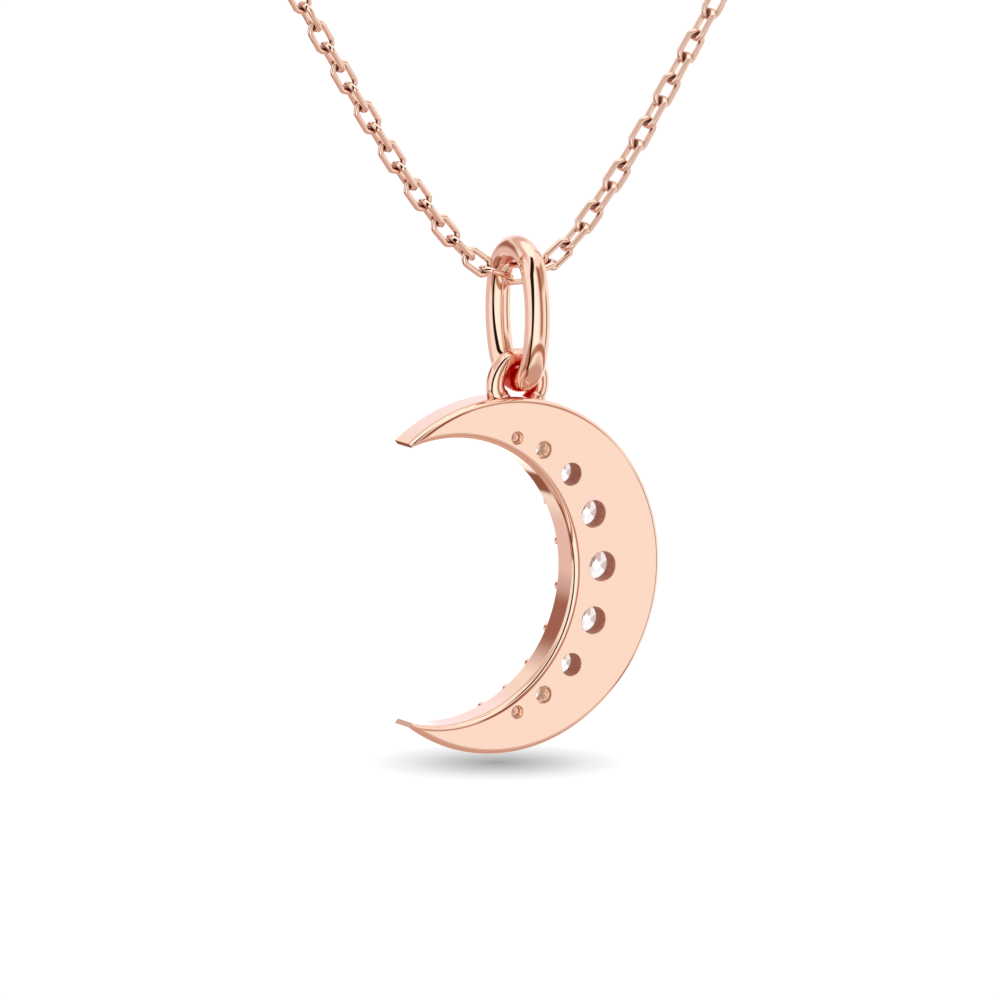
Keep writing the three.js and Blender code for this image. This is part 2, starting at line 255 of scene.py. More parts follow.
def oval_line(half_width, half_length, end_radius, steps):
    """Four arcs: two round ends and two long sides of a larger radius that meets them."""
    side_radius = half_width ** 2 + half_length ** 2 - 2 * half_length * end_radius
    side_radius /= 2 * (half_width - end_radius)
    side_centre = side_radius - half_width
    end_centre = half_length - end_radius
    seam = math.atan2(end_centre, side_centre)
    line = []
    for c, s in circle(1, steps, math.pi / steps):
        if math.atan2(abs(s), abs(c)) < seam:
            point = Vector((c * side_radius - math.copysign(side_centre, c), s * side_radius, 0))
        else:
            point = Vector((c * end_radius, s * end_radius + math.copysign(end_centre, s), 0))
        line.append((point, Vector((-s, c, 0))))
    return line


def link_line(bend_steps):
    """A long octagon whose corners are bent, not sharp."""
    to_corner = (LINK_WIDTH - LINK_WIRE) / 2 / math.cos(math.pi / LINK_CORNERS)
    stretch = (LINK_LENGTH - LINK_WIDTH) / 2
    corners = []
    for c, s in circle(to_corner, LINK_CORNERS, math.pi / LINK_CORNERS):
        corners.append(Vector((c, s + math.copysign(stretch, s), 0)))
    line = []
    for i, corner in enumerate(corners):
        before = (corner - corners[i - 1]).normalized()
        after = (corners[(i + 1) % LINK_CORNERS] - corner).normalized()
        start, end = corner - before * LINK_BEND, corner + after * LINK_BEND
        for k in range(bend_steps + 1):
            t = k / bend_steps
            point = start.lerp(corner, t).lerp(corner.lerp(end, t), t)
            line.append((point, before.lerp(after, t).normalized()))
    return line


def link_matrix(from_bail, flat):
    """Where a link lies: flat links in the moon's plane, the others square to it."""
    centre, along = route.place(from_bail)
    across = Vector((0, 1, 0)).cross(along).normalized()
    out = across.cross(along)
    width = across if flat else out
    face = width.cross(along)
    turn = Matrix((width, along, face)).transposed().to_4x4()
    return Matrix.Translation(centre) @ turn


def link_shape(bend_steps, wire_sides):
    """Vertices and faces of one chain link at the origin, its length along Y."""
    return sweep_wire(link_line(bend_steps), LINK_WIRE / 2, wire_sides)


def build_near_links():
    """One fine link for each link that the CAD model has as a node."""
    verts, faces = link_shape(*NEAR_LINK_DETAIL)
    steps = {"link_centre": 0}
    for i in range(1, LINKS_EACH_SIDE + 1):
        steps[f"link_left_{i}"] = i
        steps[f"link_right_{i}"] = -i
    pieces = []
    for node, step in steps.items():
        place = link_matrix(step * LINK_PITCH, step % 2 == 0)
        piece = make_piece(f"fine_{node}", [place @ v for v in verts], faces)
        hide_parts(node)
        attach(piece, "chain")
        pieces.append(piece)
    return pieces


def build_far_links():
    """The rest of each side as real links in one piece, and the last link, which is a node."""
    link_verts, link_faces = link_shape(*FAR_LINK_DETAIL)
    last_verts, last_faces = link_shape(*NEAR_LINK_DETAIL)
    near_end = LINKS_EACH_SIDE * LINK_PITCH
    # The count is odd, so that the last link stands upright in the clasp's level ring.
    count = 2 * round((route.middle - near_end) / LINK_PITCH / 2 - 0.5) + 1
    pitch = (route.middle - near_end) / count
    pieces = []
    for side, sign in (("left", 1), ("right", -1)):
        verts, faces = [], []
        for i in range(1, count):
            flat = (LINKS_EACH_SIDE + i) % 2 == 0
            place = link_matrix(sign * (near_end + i * pitch), flat)
            start = len(verts)
            verts.extend(place @ v for v in link_verts)
            faces.extend([start + n for n in f] for f in link_faces)
        piece = make_piece(f"chain_{side}_links", verts, faces)
        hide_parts(f"chain_{side}")
        place = link_matrix(sign * route.middle, True)
        last = make_piece(f"fine_link_{side}_end", [place @ v for v in last_verts], last_faces)
        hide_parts(f"link_{side}_end")
        for made in (piece, last):
            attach(made, "chain")
            pieces.append(made)
    return pieces


# ---------------------------------------------------------------- crescent
def moon_origin():
    """Middle of the crescent's outer circle on its polished back, in millimetres."""
    low, high = (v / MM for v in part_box("crescent"))
    return Vector((low.x + MOON_RADIUS, high.y, (low.z + high.z) / 2))


def tip_corners(inset):
    """Outer and inner corner of the upper horn's blunt tip when the outline shrinks by inset."""
    outer, inner = MOON_RADIUS - inset, MOON_HOLLOW_RADIUS + inset
    along = Vector((math.cos(MOON_TIP_ANGLE), math.sin(MOON_TIP_ANGLE)))
    lean = MOON_HOLLOW_X * along.x
    inner_reach = lean + math.sqrt(lean ** 2 - MOON_HOLLOW_X ** 2 + inner ** 2)
    if outer > inner_reach + 1e-3:
        return along * outer, along * inner_reach
    x = (outer ** 2 - inner ** 2 + MOON_HOLLOW_X ** 2) / (2 * MOON_HOLLOW_X)
    meeting = Vector((x, math.sqrt(outer ** 2 - x ** 2)))
    return meeting, meeting.copy()


def moon_loop(inset, outer_steps=200, inner_steps=180, tip_steps=4):
    """The crescent's outline as (x, z) points, shrunk by inset, always the same number."""
    outer_tip, inner_tip = tip_corners(inset)
    hollow = Vector((MOON_HOLLOW_X, 0))
    start = math.atan2(outer_tip.y, outer_tip.x)
    points = []
    for i in range(outer_steps + 1):
        a = start + (2 * math.pi - 2 * start) * i / outer_steps
        points.append((MOON_RADIUS - inset) * Vector((math.cos(a), math.sin(a))))
    flip = Vector((1, -1))
    for i in range(1, tip_steps):
        points.append(outer_tip.lerp(inner_tip, i / tip_steps) * flip)
    start = math.atan2(inner_tip.y, inner_tip.x - MOON_HOLLOW_X)
    for i in range(inner_steps + 1):
        a = 2 * math.pi - start - (2 * math.pi - 2 * start) * i / inner_steps
        reach = MOON_HOLLOW_RADIUS + inset
        points.append(hollow + reach * Vector((math.cos(a), math.sin(a))))
    for i in range(1, tip_steps):
        points.append(inner_tip.lerp(outer_tip, i / tip_steps))
    return points


def stone_places():
    """Size and place of each stone in the crescent, largest in the middle."""
    places = []
    for size, degrees in zip(STONE_SIZES, STONE_ANGLES):
        a = math.radians(degrees)
        x = STONE_RING_X + STONE_RING_RADIUS * math.cos(a)
        places.append((size, x, STONE_RING_RADIUS * math.sin(a)))
    return places


def prong_places():
    """Shared prongs: a pair in each gap between stones and a pair past each end."""
    first = 2 * STONE_ANGLES[0] - STONE_ANGLES[1]
    last = 2 * STONE_ANGLES[-1] - STONE_ANGLES[-2]
    around = [first, *STONE_ANGLES, last]
    middles = [(a + b) / 2 for a, b in zip(around, around[1:])]
    places = []
    for i, degrees in enumerate(middles):
        a = math.radians(degrees)
        out = Vector((math.cos(a), math.sin(a)))
        middle = Vector((STONE_RING_X, 0)) + out * STONE_RING_RADIUS
        to_edge = (middle - Vector((MOON_HOLLOW_X, 0))).length - MOON_HOLLOW_RADIUS
        at_end = i in (0, len(middles) - 1)
        offset = 0.5 * to_edge if at_end else to_edge - PRONG_MARGIN
        places += [middle - out * offset, middle + out * offset]
    clear = GAP + PRONG_RADIUS / 2
    return [
        p for p in places
        if all((p - Vector((x, z))).length > size / 2 + clear for size, x, z in stone_places())
    ]


def seat_profile(size):
    """One seat from the back to the front, as (radius, y): hole, cone under the stone, well."""
    well = size / 2 + GAP
    hole = AZURE_RATIO * size / 2
    front = -MOON_THICKNESS
    girdle_y = front + GIRDLE_DEPTH * size
    cone_y = girdle_y + (well - hole) * PAVILION_DEPTH / 0.5
    back_edge = [(hole + d, -depth) for d, depth in quarter_round(HOLE_EDGE, HOLE_EDGE_STEPS)]
    front_edge = [(well + d, front + depth) for d, depth in quarter_round(HOLE_EDGE, 3)]
    return (
        [(hole + HOLE_EDGE + SUPPORT, 0)] + back_edge
        + [(hole, cone_y + SUPPORT), (hole, cone_y), (well, girdle_y), (well, girdle_y - SUPPORT)]
        + front_edge[::-1] + [(well + HOLE_EDGE + SUPPORT, front)]
    )


def fill_flat(work, loops):
    """Fills the flat between an outer loop and the loops of its holes."""
    edges = []
    for loop in loops:
        corners = []
        for n in loop:
            corner = work.verts[n]
            if not corners or (corner.co - corners[-1].co).length > SAME_POINT * MM:
                corners.append(corner)
        if (corners[0].co - corners[-1].co).length <= SAME_POINT * MM:
            corners.pop()
        for a, b in zip(corners, corners[1:] + corners[:1]):
            edges.append(work.edges.get((a, b)) or work.edges.new((a, b)))
    bmesh.ops.triangle_fill(work, use_beauty=True, use_dissolve=False, edges=list(set(edges)))


def build_crescent():
    """The casting: rounded crescent with azure holes, seats and prongs."""
    origin = moon_origin()
    verts, faces = [], []

    def moon_ring(inset, y):
        return add_loop(verts, [origin + Vector((p.x, y, p.y)) for p in moon_loop(inset)])

    back = [(BACK_EDGE + SUPPORT, 0)] + [(d, -y) for d, y in quarter_round(BACK_EDGE, 12)]
    wall = [(0, -BACK_EDGE - SUPPORT), (0, -MOON_THICKNESS + FRONT_EDGE + SUPPORT)]
    front = [(d, -MOON_THICKNESS + y) for d, y in quarter_round(FRONT_EDGE, 5)][::-1]
    front.append((FRONT_EDGE + SUPPORT, -MOON_THICKNESS))
    rings = [moon_ring(*step) for step in back + wall + front]
    for a, b in zip(rings, rings[1:]):
        bridge(faces, a, b)

    back_loops, front_loops = [rings[0]], [rings[-1]]
    satin = []
    for size, x, z in stone_places():
        seat = []
        for radius, y in seat_profile(size):
            centre = origin + Vector((x, y, z))
            seat.append(add_loop(verts, [
                centre + Vector((px, 0, pz)) for px, pz in circle(radius, HOLE_STEPS)
            ]))
        for i, (a, b) in enumerate(zip(seat, seat[1:])):
            first = len(faces)
            bridge(faces, a, b)
            if i > HOLE_EDGE_STEPS and size > LARGEST_BRIGHT_SEAT:
                satin.extend(range(first, len(faces)))
        back_loops.append(seat[0])
        front_loops.append(seat[-1])

    mesh = bpy.data.meshes.new("crescent_casting")
    mesh.from_pydata([v * MM for v in verts], [], faces)
    work = bmesh.new()
    work.from_mesh(mesh)
    work.verts.ensure_lookup_table()
    work.faces.ensure_lookup_table()
    for number in satin:
        work.faces[number].material_index = 1
    fill_flat(work, back_loops)
    fill_flat(work, front_loops)
    bmesh.ops.remove_doubles(work, verts=work.verts, dist=WELD * MM)
    bmesh.ops.dissolve_degenerate(work, edges=work.edges, dist=WELD / 10 * MM)
    for place in prong_places():
        add_prong(work, origin + Vector((place.x, -MOON_THICKNESS, place.y)))
    work.to_mesh(mesh)
    work.free()
    finish_mesh(mesh, 40)
    piece = bpy.data.objects.new("crescent_casting", mesh)
    bpy.context.collection.objects.link(piece)
    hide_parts("crescent")
    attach(piece, "pendant")
    return piece


def add_prong(work, foot):
    """A round prong with a domed tip, standing from the front face toward -Y."""
    steps, sides = 6, 24
    dome = 0.75 * PRONG_RADIUS
    profile = [(PRONG_RADIUS, PRONG_ROOT), (PRONG_RADIUS, -PRONG_HEIGHT + dome)]
    for i in range(1, steps):
        a = math.pi / 2 * i / steps
        profile.append((PRONG_RADIUS * math.cos(a), -PRONG_HEIGHT + dome * (1 - math.sin(a))))
    loops = []
    for radius, y in profile:
        loops.append([
            work.verts.new((foot + Vector((px, y, pz))) * MM) for px, pz in circle(radius, sides)
        ])
    for a, b in zip(loops, loops[1:]):
        for i in range(sides):
            j = (i + 1) % sides
            work.faces.new((a[i], a[j], b[j], b[i]))
    tip = work.verts.new((foot + Vector((0, -PRONG_HEIGHT, 0))) * MM)
    for i in range(sides):
        work.faces.new((loops[-1][i], loops[-1][(i + 1) % sides], tip))
    work.faces.new(loops[0][::-1])


# ---------------------------------------------------------------- soldered loop and bail
def build_loop():
    """The ring soldered to the crescent's rim, its foot flared by the solder."""
    low, high = (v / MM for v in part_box("crescent_loop"))
    centre = Vector(((low.x + high.x) / 2, (low.y + high.y) / 2,
                     high.z - LOOP_WIRE / 2 - LOOP_RADIUS))
    origin = moon_origin()
    moon_middle = Vector((origin.x, centre.y, origin.z))
    verts, loops, faces = [], [], []
    ring_steps, wire_sides = 112, 36
    for i in range(ring_steps):
        a = 2 * math.pi * i / ring_steps
        out = Vector((math.cos(a), 0, math.sin(a)))
        middle = centre + out * LOOP_RADIUS
        height = (middle - moon_middle).length - MOON_RADIUS
        flare = 1
        if height < SOLDER_HEIGHT:
            flare = 1 + SOLDER_FLARE * math.exp(-max(height, 0) / SOLDER_FADE)
        loops.append(add_loop(verts, [
            middle + (out * c + Vector((0, s, 0))) * min(flare, LARGEST_FLARE)
            for c, s in circle(LOOP_WIRE / 2, wire_sides)
        ]))
    for i, loop in enumerate(loops):
        bridge(faces, loop, loops[(i + 1) % ring_steps])
    piece = make_piece("soldered_loop", verts, faces)
    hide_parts("crescent_loop")
    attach(piece, "pendant")
    return piece


def build_bail():
    """The oval bail ring, square to the crescent."""
    low, high = (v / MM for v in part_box("bail_ring"))
    centre = (low + high) / 2
    half_height = (BAIL_HEIGHT - BAIL_WIRE) / 2
    steps, wire_sides = BAIL_DETAIL
    line = oval_line(BAIL_HALF_WIDTH, half_height, BAIL_END_RADIUS, steps)
    verts, faces = sweep_wire(line, BAIL_WIRE / 2, wire_sides)
    placed = [centre + Vector((v.z, v.x, v.y)) for v in verts]
    piece = make_piece("oval_bail", placed, faces)
    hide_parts("bail_ring")
    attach(piece, "bail")
    return piece


# ---------------------------------------------------------------- clasp
def build_clasp_rings():
    """The jump ring and the end ring of the clasp, in fine round wire."""
    steps, wire_sides = CLASP_RING_DETAIL
    pieces = []
    for node in ("clasp_jump_ring", "end_ring"):
        low, high = (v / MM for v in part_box(node))
        radius = (high.x - low.x - CLASP_RING_WIRE) / 2
        verts, faces = sweep_wire(round_line(radius, steps), CLASP_RING_WIRE / 2, wire_sides)
        centre = (low + high) / 2
        piece = make_piece(f"fine_{node}", [centre + v for v in verts], faces)
        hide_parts(node)
        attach(piece, "chain")
        pieces.append(piece)
    return pieces


def build_clasp_parts():
    """The clasp's solids with their edges rounded, as a tumbled casting has them."""
    bodies = {"clasp_body": "chain", "clasp_pin": "chain", "clasp_spring": "chain",
              "clasp_lever": "lever"}
    edges = {"clasp_body": CLASP_EDGE, "clasp_lever": CLASP_EDGE / 2, "clasp_pin": CLASP_EDGE / 3,
             "clasp_spring": CLASP_EDGE / 8}
    pieces = []
    for node, body in bodies.items():
        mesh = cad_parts[node].data.copy()
        mesh.name = f"rounded_{node}"
        work = bmesh.new()
        work.from_mesh(mesh)
        bmesh.ops.remove_doubles(work, verts=work.verts, dist=WELD * MM)
        bmesh.ops.dissolve_limit(
            work, angle_limit=math.radians(1), verts=work.verts, edges=work.edges,
        )
        sharp = [e for e in work.edges if e.calc_face_angle(0) > CLASP_CORNER]
        bmesh.ops.bevel(
            work, geom=sharp, offset=edges[node] * MM, offset_type="OFFSET", segments=3,
            profile=0.5, affect="EDGES", clamp_overlap=True,
        )
        bmesh.ops.triangulate(work, faces=[f for f in work.faces if len(f.verts) > 4])
        work.to_mesh(mesh)
        work.free()
        mesh.shade_smooth()
        mesh.set_sharp_from_angle(angle=CLASP_CREASE)
        for face in mesh.polygons:
            if abs(face.normal.y) > FLAT_CHEEK:
                face.use_smooth = False
        piece = bpy.data.objects.new(f"rounded_{node}", mesh)
        bpy.context.collection.objects.link(piece)
        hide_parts(node)
        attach(piece, body)
        pieces.append(piece)
    return pieces


# ---------------------------------------------------------------- diamonds
# How much steeper or flatter the smaller facets are than the main ones of crown and pavilion.
UPPER_HALF_LEAN = math.radians(6.5)
LOWER_HALF_LEAN = math.radians(1.6)
STAR_LEAN = math.radians(12)
STONE_SPIN = math.radians(11)  # each stone's turn in its seat


def brilliant_mesh():
    """A round brilliant one unit across, table up along Z, girdle's lower edge at z = 0."""
    work = bmesh.new()
    bmesh.ops.create_cone(
        work, cap_ends=True, segments=64, radius1=0.5, radius2=0.5, depth=2,
    )
    crown_top = GIRDLE_HEIGHT + CROWN_HEIGHT

    def cut(azimuth, steepness, through):
        """Keeps the inside of a facet whose normal leans by steepness from the stone's axis."""
        normal = Vector((
            math.sin(steepness) * math.cos(azimuth),
            math.sin(steepness) * math.sin(azimuth),
            math.cos(steepness),
        ))
        geom = work.verts[:] + work.edges[:] + work.faces[:]
        done = bmesh.ops.bisect_plane(
            work, geom=geom, plane_co=through, plane_no=normal, clear_outer=True, dist=1e-6,
        )
        rim = [e for e in done["geom_cut"] if isinstance(e, bmesh.types.BMEdge)]
        bmesh.ops.edgenet_fill(work, edges=rim)

    def at(radius, azimuth, z):
        """A point at a radius and an azimuth from the stone's axis."""
        return Vector((radius * math.cos(azimuth), radius * math.sin(azimuth), z))

    cut(0, 0, Vector((0, 0, crown_top)))
    cut(0, math.pi, Vector((0, 0, -PAVILION_DEPTH)))
    crown_lean = math.atan2(CROWN_HEIGHT, 0.5 - TABLE_RATIO / 2 * math.cos(math.pi / 8))
    pavilion_lean = math.atan2(PAVILION_DEPTH, 0.5)
    eighth = math.pi / 4
    for i in range(8):
        a = i * eighth
        cut(a, crown_lean, at(0.5, a, GIRDLE_HEIGHT))
        cut(a, math.pi - pavilion_lean, at(0.5, a, 0))
    upper_lean = crown_lean + UPPER_HALF_LEAN
    lower_lean = pavilion_lean + LOWER_HALF_LEAN
    for i in range(8):
        for side in (-1, 1):
            a = i * eighth + side * eighth / 4
            cut(a, upper_lean, at(0.5, a, GIRDLE_HEIGHT))
            cut(a, math.pi - lower_lean, at(0.5, a, 0))
    star_lean = crown_lean - STAR_LEAN
    for i in range(8):
        a = (i + 0.5) * eighth
        cut(a, star_lean, at(TABLE_RATIO / 2 * math.cos(math.pi / 8), a, crown_top))
    mesh = bpy.data.meshes.new("brilliant")
    bmesh.ops.recalc_face_normals(work, faces=work.faces)
    work.to_mesh(mesh)
    work.free()
    return mesh


def build_diamonds():
    """One brilliant in each seat, point toward the crescent's back."""
    origin = moon_origin()
    unit = brilliant_mesh()
    pieces = []
    for i, (size, x, z) in enumerate(stone_places()):
        mesh = unit.copy()
        girdle_y = -MOON_THICKNESS + GIRDLE_DEPTH * size
        centre = origin + Vector((x, girdle_y, z))
        turn = Matrix.Rotation(math.radians(90), 4, "X")
        spin = Matrix.Rotation(STONE_SPIN, 4, "Z")
        place = Matrix.Translation(centre * MM) @ turn @ spin
        mesh.transform(place @ Matrix.Scale(size * MM, 4))
        piece = bpy.data.objects.new(f"brilliant_{i + 1}", mesh)
        bpy.context.collection.objects.link(piece)
        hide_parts(f"diamond_{i + 1}")
        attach(piece, "pendant")
        pieces.append(piece)
    return pieces


# ---------------------------------------------------------------- materials
ROSE_GOLD = (0.985, 0.70, 0.555, 1)
# The links' gold, painted a little paler than ROSE_GOLD: painted light that brightens the chain.
LINK_GOLD_PAINTED_PALER = (1, 0.75, 0.62, 1)
# The satin walls' gold: satin roughness, with a colour painted darker and duller, as painted shade
# in the holes.
SHADED_SATIN_GOLD = (0.66, 0.27, 0.18, 1)
POLISH = (0.015, 0.05)  # smoothest and roughest places of the polished gold
SATIN = (0.35, 0.45)
HAZE_SCALE = 900  # faint waves that a polishing wheel leaves, to the metre
HAIRLINE_SCALE = 14000
HAIRLINE_BUMP = 0.012
STONE_IOR = 1.78  # less than diamond's own, so that fewer facets go dark through the holes
STONE_GLOW = 0.07  # stands for light that reaches a stone from the front of its seat


def new_material(name):
    """A node material and its Principled shader."""
    material = bpy.data.materials.new(name)
    material.use_nodes = True
    return material, material.node_tree.nodes["Principled BSDF"]


# Painted shade in narrow places: the reach in millimetres, how open a place is where it starts and
# where it is complete, the painted colour there, and a faint painted glow that stands for many
# reflections.
RING_PAINTED_SHADE = (1.2, 0.74, 0.3, (0.5, 0.03, 0.01, 1), (0.1, 0.001, 0, 1))
# The links: painted dark brown where they come close to another piece, as painted shade, and no
# glow.
LINK_PAINTED_SHADE = (0.4, 0.75, 0.35, (0.3, 0.09, 0.06, 1), (0, 0, 0, 1))


def rose_gold(name, smoothest, roughest, painted_shade=None, colour=ROSE_GOLD, metallic=1.0):
    """Rose gold with a polishing wheel's faint waves and hairlines.

    Given shade numbers, its colour is painted deeper in narrow places, as painted shade,
    and a faint painted glow there stands for many reflections.
    """
    material, shader = new_material(name)
    nodes, links = material.node_tree.nodes, material.node_tree.links
    shader.inputs["Metallic"].default_value = metallic
    place = nodes.new("ShaderNodeTexCoord")
    haze = nodes.new("ShaderNodeTexNoise")
    haze.inputs["Scale"].default_value = HAZE_SCALE
    haze.inputs["Detail"].default_value = 5
    links.new(place.outputs["Object"], haze.inputs["Vector"])
    rough = nodes.new("ShaderNodeMapRange")
    rough.inputs["From Min"].default_value = 0.3
    rough.inputs["From Max"].default_value = 0.75
    rough.inputs["To Min"].default_value = smoothest
    rough.inputs["To Max"].default_value = roughest
    links.new(haze.outputs["Fac"], rough.inputs["Value"])
    links.new(rough.outputs["Result"], shader.inputs["Roughness"])
    hairline = nodes.new("ShaderNodeTexNoise")
    hairline.inputs["Scale"].default_value = HAIRLINE_SCALE
    hairline.inputs["Detail"].default_value = 2
    links.new(place.outputs["Object"], hairline.inputs["Vector"])
    bump = nodes.new("ShaderNodeBump")
    bump.inputs["Strength"].default_value = HAIRLINE_BUMP
    bump.inputs["Distance"].default_value = 0.00001
    links.new(hairline.outputs["Fac"], bump.inputs["Height"])
    links.new(bump.outputs["Normal"], shader.inputs["Normal"])
    shader.inputs["Base Color"].default_value = colour
    if not painted_shade:
        return material
    # Painted shade and painted light: where the occlusion finds other gold near, the colour is mixed
    # toward a deeper one and a faint glow is added.
    shelter = nodes.new("ShaderNodeAmbientOcclusion")
    shelter.samples = 8
    reach, start, full, painted_shade_colour, glow = painted_shade
    shelter.inputs["Distance"].default_value = reach * MM
    depth = nodes.new("ShaderNodeMapRange")
    depth.interpolation_type = "SMOOTHSTEP"
    depth.inputs["From Min"].default_value = start
    depth.inputs["From Max"].default_value = full
    links.new(shelter.outputs["AO"], depth.inputs["Value"])
    tone = nodes.new("ShaderNodeMix")
    tone.data_type = "RGBA"
    tone.inputs["A"].default_value = colour
    tone.inputs["B"].default_value = painted_shade_colour
    links.new(depth.outputs["Result"], tone.inputs["Factor"])
    links.new(tone.outputs["Result"], shader.inputs["Base Color"])
    shader.inputs["Emission Color"].default_value = glow
    links.new(depth.outputs["Result"], shader.inputs["Emission Strength"])
    return material


def diamond():
    """Clear cut diamond; faint inclusions change its tint a little."""
    material, shader = new_material("cut_diamond")
    nodes, links = material.node_tree.nodes, material.node_tree.links
    shader.inputs["Transmission Weight"].default_value = 1
    shader.inputs["IOR"].default_value = STONE_IOR
    shader.inputs["Emission Color"].default_value = (0.93, 1, 0.97, 1)
    shader.inputs["Emission Strength"].default_value = STONE_GLOW
    shader.inputs["Roughness"].default_value = 0
    place = nodes.new("ShaderNodeTexCoord")
    cloud = nodes.new("ShaderNodeTexNoise")
    cloud.inputs["Scale"].default_value = 1500
    links.new(place.outputs["Object"], cloud.inputs["Vector"])
    tint = nodes.new("ShaderNodeMix")
    tint.data_type = "RGBA"
    tint.inputs["A"].default_value = (0.985, 0.99, 1, 1)
    tint.inputs["B"].default_value = (1, 0.995, 0.985, 1)
    links.new(cloud.outputs["Fac"], tint.inputs["Factor"])
    links.new(tint.outputs["Result"], shader.inputs["Base Color"])
    return material


def set_material(piece, material):
    """Gives a piece one material."""
    piece.data.materials.clear()
    piece.data.materials.append(material)


# ---------------------------------------------------------------- studio
# Cards of the studio, which turn its white to a colour. Bearings are degrees from +Y toward +X,
# elevations are degrees above the horizon. Each row: bearing at the horizon, how far the bearing
# leans per degree of elevation, half width at the horizon, how much that widens per degree,
# softness of the sides, lowest and highest elevation, softness of the ends, colour.
CARDS = (
    (66, -0.73, 10, 0.12, 4, -34, 62, 6, (0.02, 0.008, 0.006)),
    (-9, 0, 10, 0, 7, -18, 36, 8, (0.5, 0.27, 0.2)),
    (38, 0, 14, 0, 10, -30, 20, 14, (1.12, 1.25, 1.25)),
    (-61, 0, 4, 0, 6, -20, 0, 8, (0.25, 0.14, 0.11)),
    (-40, 0, 28, 0, 10, 14, 30, 8, (0.55, 0.36, 0.28)),
    (108, 0, 22, 0, 10, -50, -18, 5, (0.5, 0.28, 0.2)),
    (0, 0, 95, 0, 15, -30, -27, 3, (0.45, 0.22, 0.15)),
    (-177, 0, 5, 0, 4, -37, -28, 3, (0.3, 0.13, 0.09)),
    (150, 0, 12, 0, 16, 6, 18, 16, (0.36, 0.17, 0.14)),
    (152, 0, 24, 0, 20, -26, -6, 8, (0.8, 0.66, 0.66)),
    (150, 0, 60, 0, 30, 38, 60, 8, (0.75, 0.6, 0.55)),
    (-149, 0, 16, 0, 10, -24, 2, 8, (1.25, 1.32, 1.35)),
    (-160, 0, 14, 0, 8, 8, 34, 6, (1, 1, 1.12)),
    (0, 0, 180, 0, 10, 64, 90, 10, (1.25, 1.3, 1.3)),
    (0, 0, 180, 0, 10, -90, -44, 14, (0.62, 0.43, 0.38)),
)


CAMERA_WHITE = 1.05  # what the camera sees behind the necklace


def math_node(nodes, links, operation, first, second=0.0):
    """The result of one Math node on two sockets or numbers."""
    node = nodes.new("ShaderNodeMath")
    node.operation = operation
    for socket, value in zip(node.inputs, (first, second)):
        if isinstance(value, bpy.types.NodeSocket):
            links.new(value, socket)
        else:
            socket.default_value = value
    return node.outputs[0]


def fade_node(nodes, links, value, start, end):
    """A smooth step from 1 at start to 0 at end."""
    node = nodes.new("ShaderNodeMapRange")
    node.interpolation_type = "SMOOTHSTEP"
    links.new(value, node.inputs["Value"])
    node.inputs["From Min"].default_value = start
    node.inputs["From Max"].default_value = end
    node.inputs["To Min"].default_value = 1
    node.inputs["To Max"].default_value = 0
    return node.outputs["Result"]


def card_mask(nodes, links, bearing, elevation, card):
    """1 on the card and 0 away from it."""
    centre, lean, half_width, widening, soft, lowest, highest, end_soft, _ = card

    def calc(operation, first, second=0.0):
        """One Math node in this node tree."""
        return math_node(nodes, links, operation, first, second)

    shift = calc("MULTIPLY", elevation, lean)
    away = calc("SUBTRACT", calc("SUBTRACT", bearing, centre), shift)
    turns = calc("ROUND", calc("DIVIDE", away, 360))
    away = calc("ABSOLUTE", calc("SUBTRACT", away, calc("MULTIPLY", turns, 360)))
    away = calc("SUBTRACT", away, calc("MULTIPLY", elevation, widening))
    beside = fade_node(nodes, links, away, half_width, half_width + soft)
    above = fade_node(nodes, links, elevation, highest, highest + end_soft)
    below = fade_node(nodes, links, elevation, lowest, lowest - end_soft)
    return calc("MULTIPLY", calc("MULTIPLY", beside, above), below)


def build_world():
    """White studio. Polished metal sees its cards; the camera sees plain white."""
    world = bpy.data.worlds.new("white_studio")
    bpy.context.scene.world = world
    world.use_nodes = True
    nodes, links = world.node_tree.nodes, world.node_tree.links
    nodes.clear()
    place = nodes.new("ShaderNodeTexCoord")
    axes = nodes.new("ShaderNodeSeparateXYZ")
    links.new(place.outputs["Generated"], axes.inputs["Vector"])
    turn = math_node(nodes, links, "ARCTAN2", axes.outputs["X"], axes.outputs["Y"])
    bearing = math_node(nodes, links, "DEGREES", turn)
    rise = math_node(nodes, links, "ARCSINE", axes.outputs["Z"])
    elevation = math_node(nodes, links, "DEGREES", rise)
    colour = None
    for card in CARDS:
        mix = nodes.new("ShaderNodeMix")
        mix.data_type = "RGBA"
        mix.blend_type = "MULTIPLY"
        mix.inputs["A"].default_value = (1, 1, 1, 1)
        mix.inputs["B"].default_value = (*card[-1], 1)
        if colour is not None:
            links.new(colour, mix.inputs["A"])
        links.new(card_mask(nodes, links, bearing, elevation, card), mix.inputs["Factor"])
        colour = mix.outputs["Result"]
    studio = nodes.new("ShaderNodeBackground")
    links.new(colour, studio.inputs["Color"])
    white = nodes.new("ShaderNodeBackground")
    white.inputs["Color"].default_value = (1, 1, 1, 1)
    white.inputs["Strength"].default_value = CAMERA_WHITE
    path = nodes.new("ShaderNodeLightPath")
    choose = nodes.new("ShaderNodeMixShader")
    links.new(path.outputs["Is Camera Ray"], choose.inputs["Fac"])
    links.new(studio.outputs[0], choose.inputs[1])
    links.new(white.outputs[0], choose.inputs[2])
    out = nodes.new("ShaderNodeOutputWorld")
    links.new(choose.outputs[0], out.inputs["Surface"])


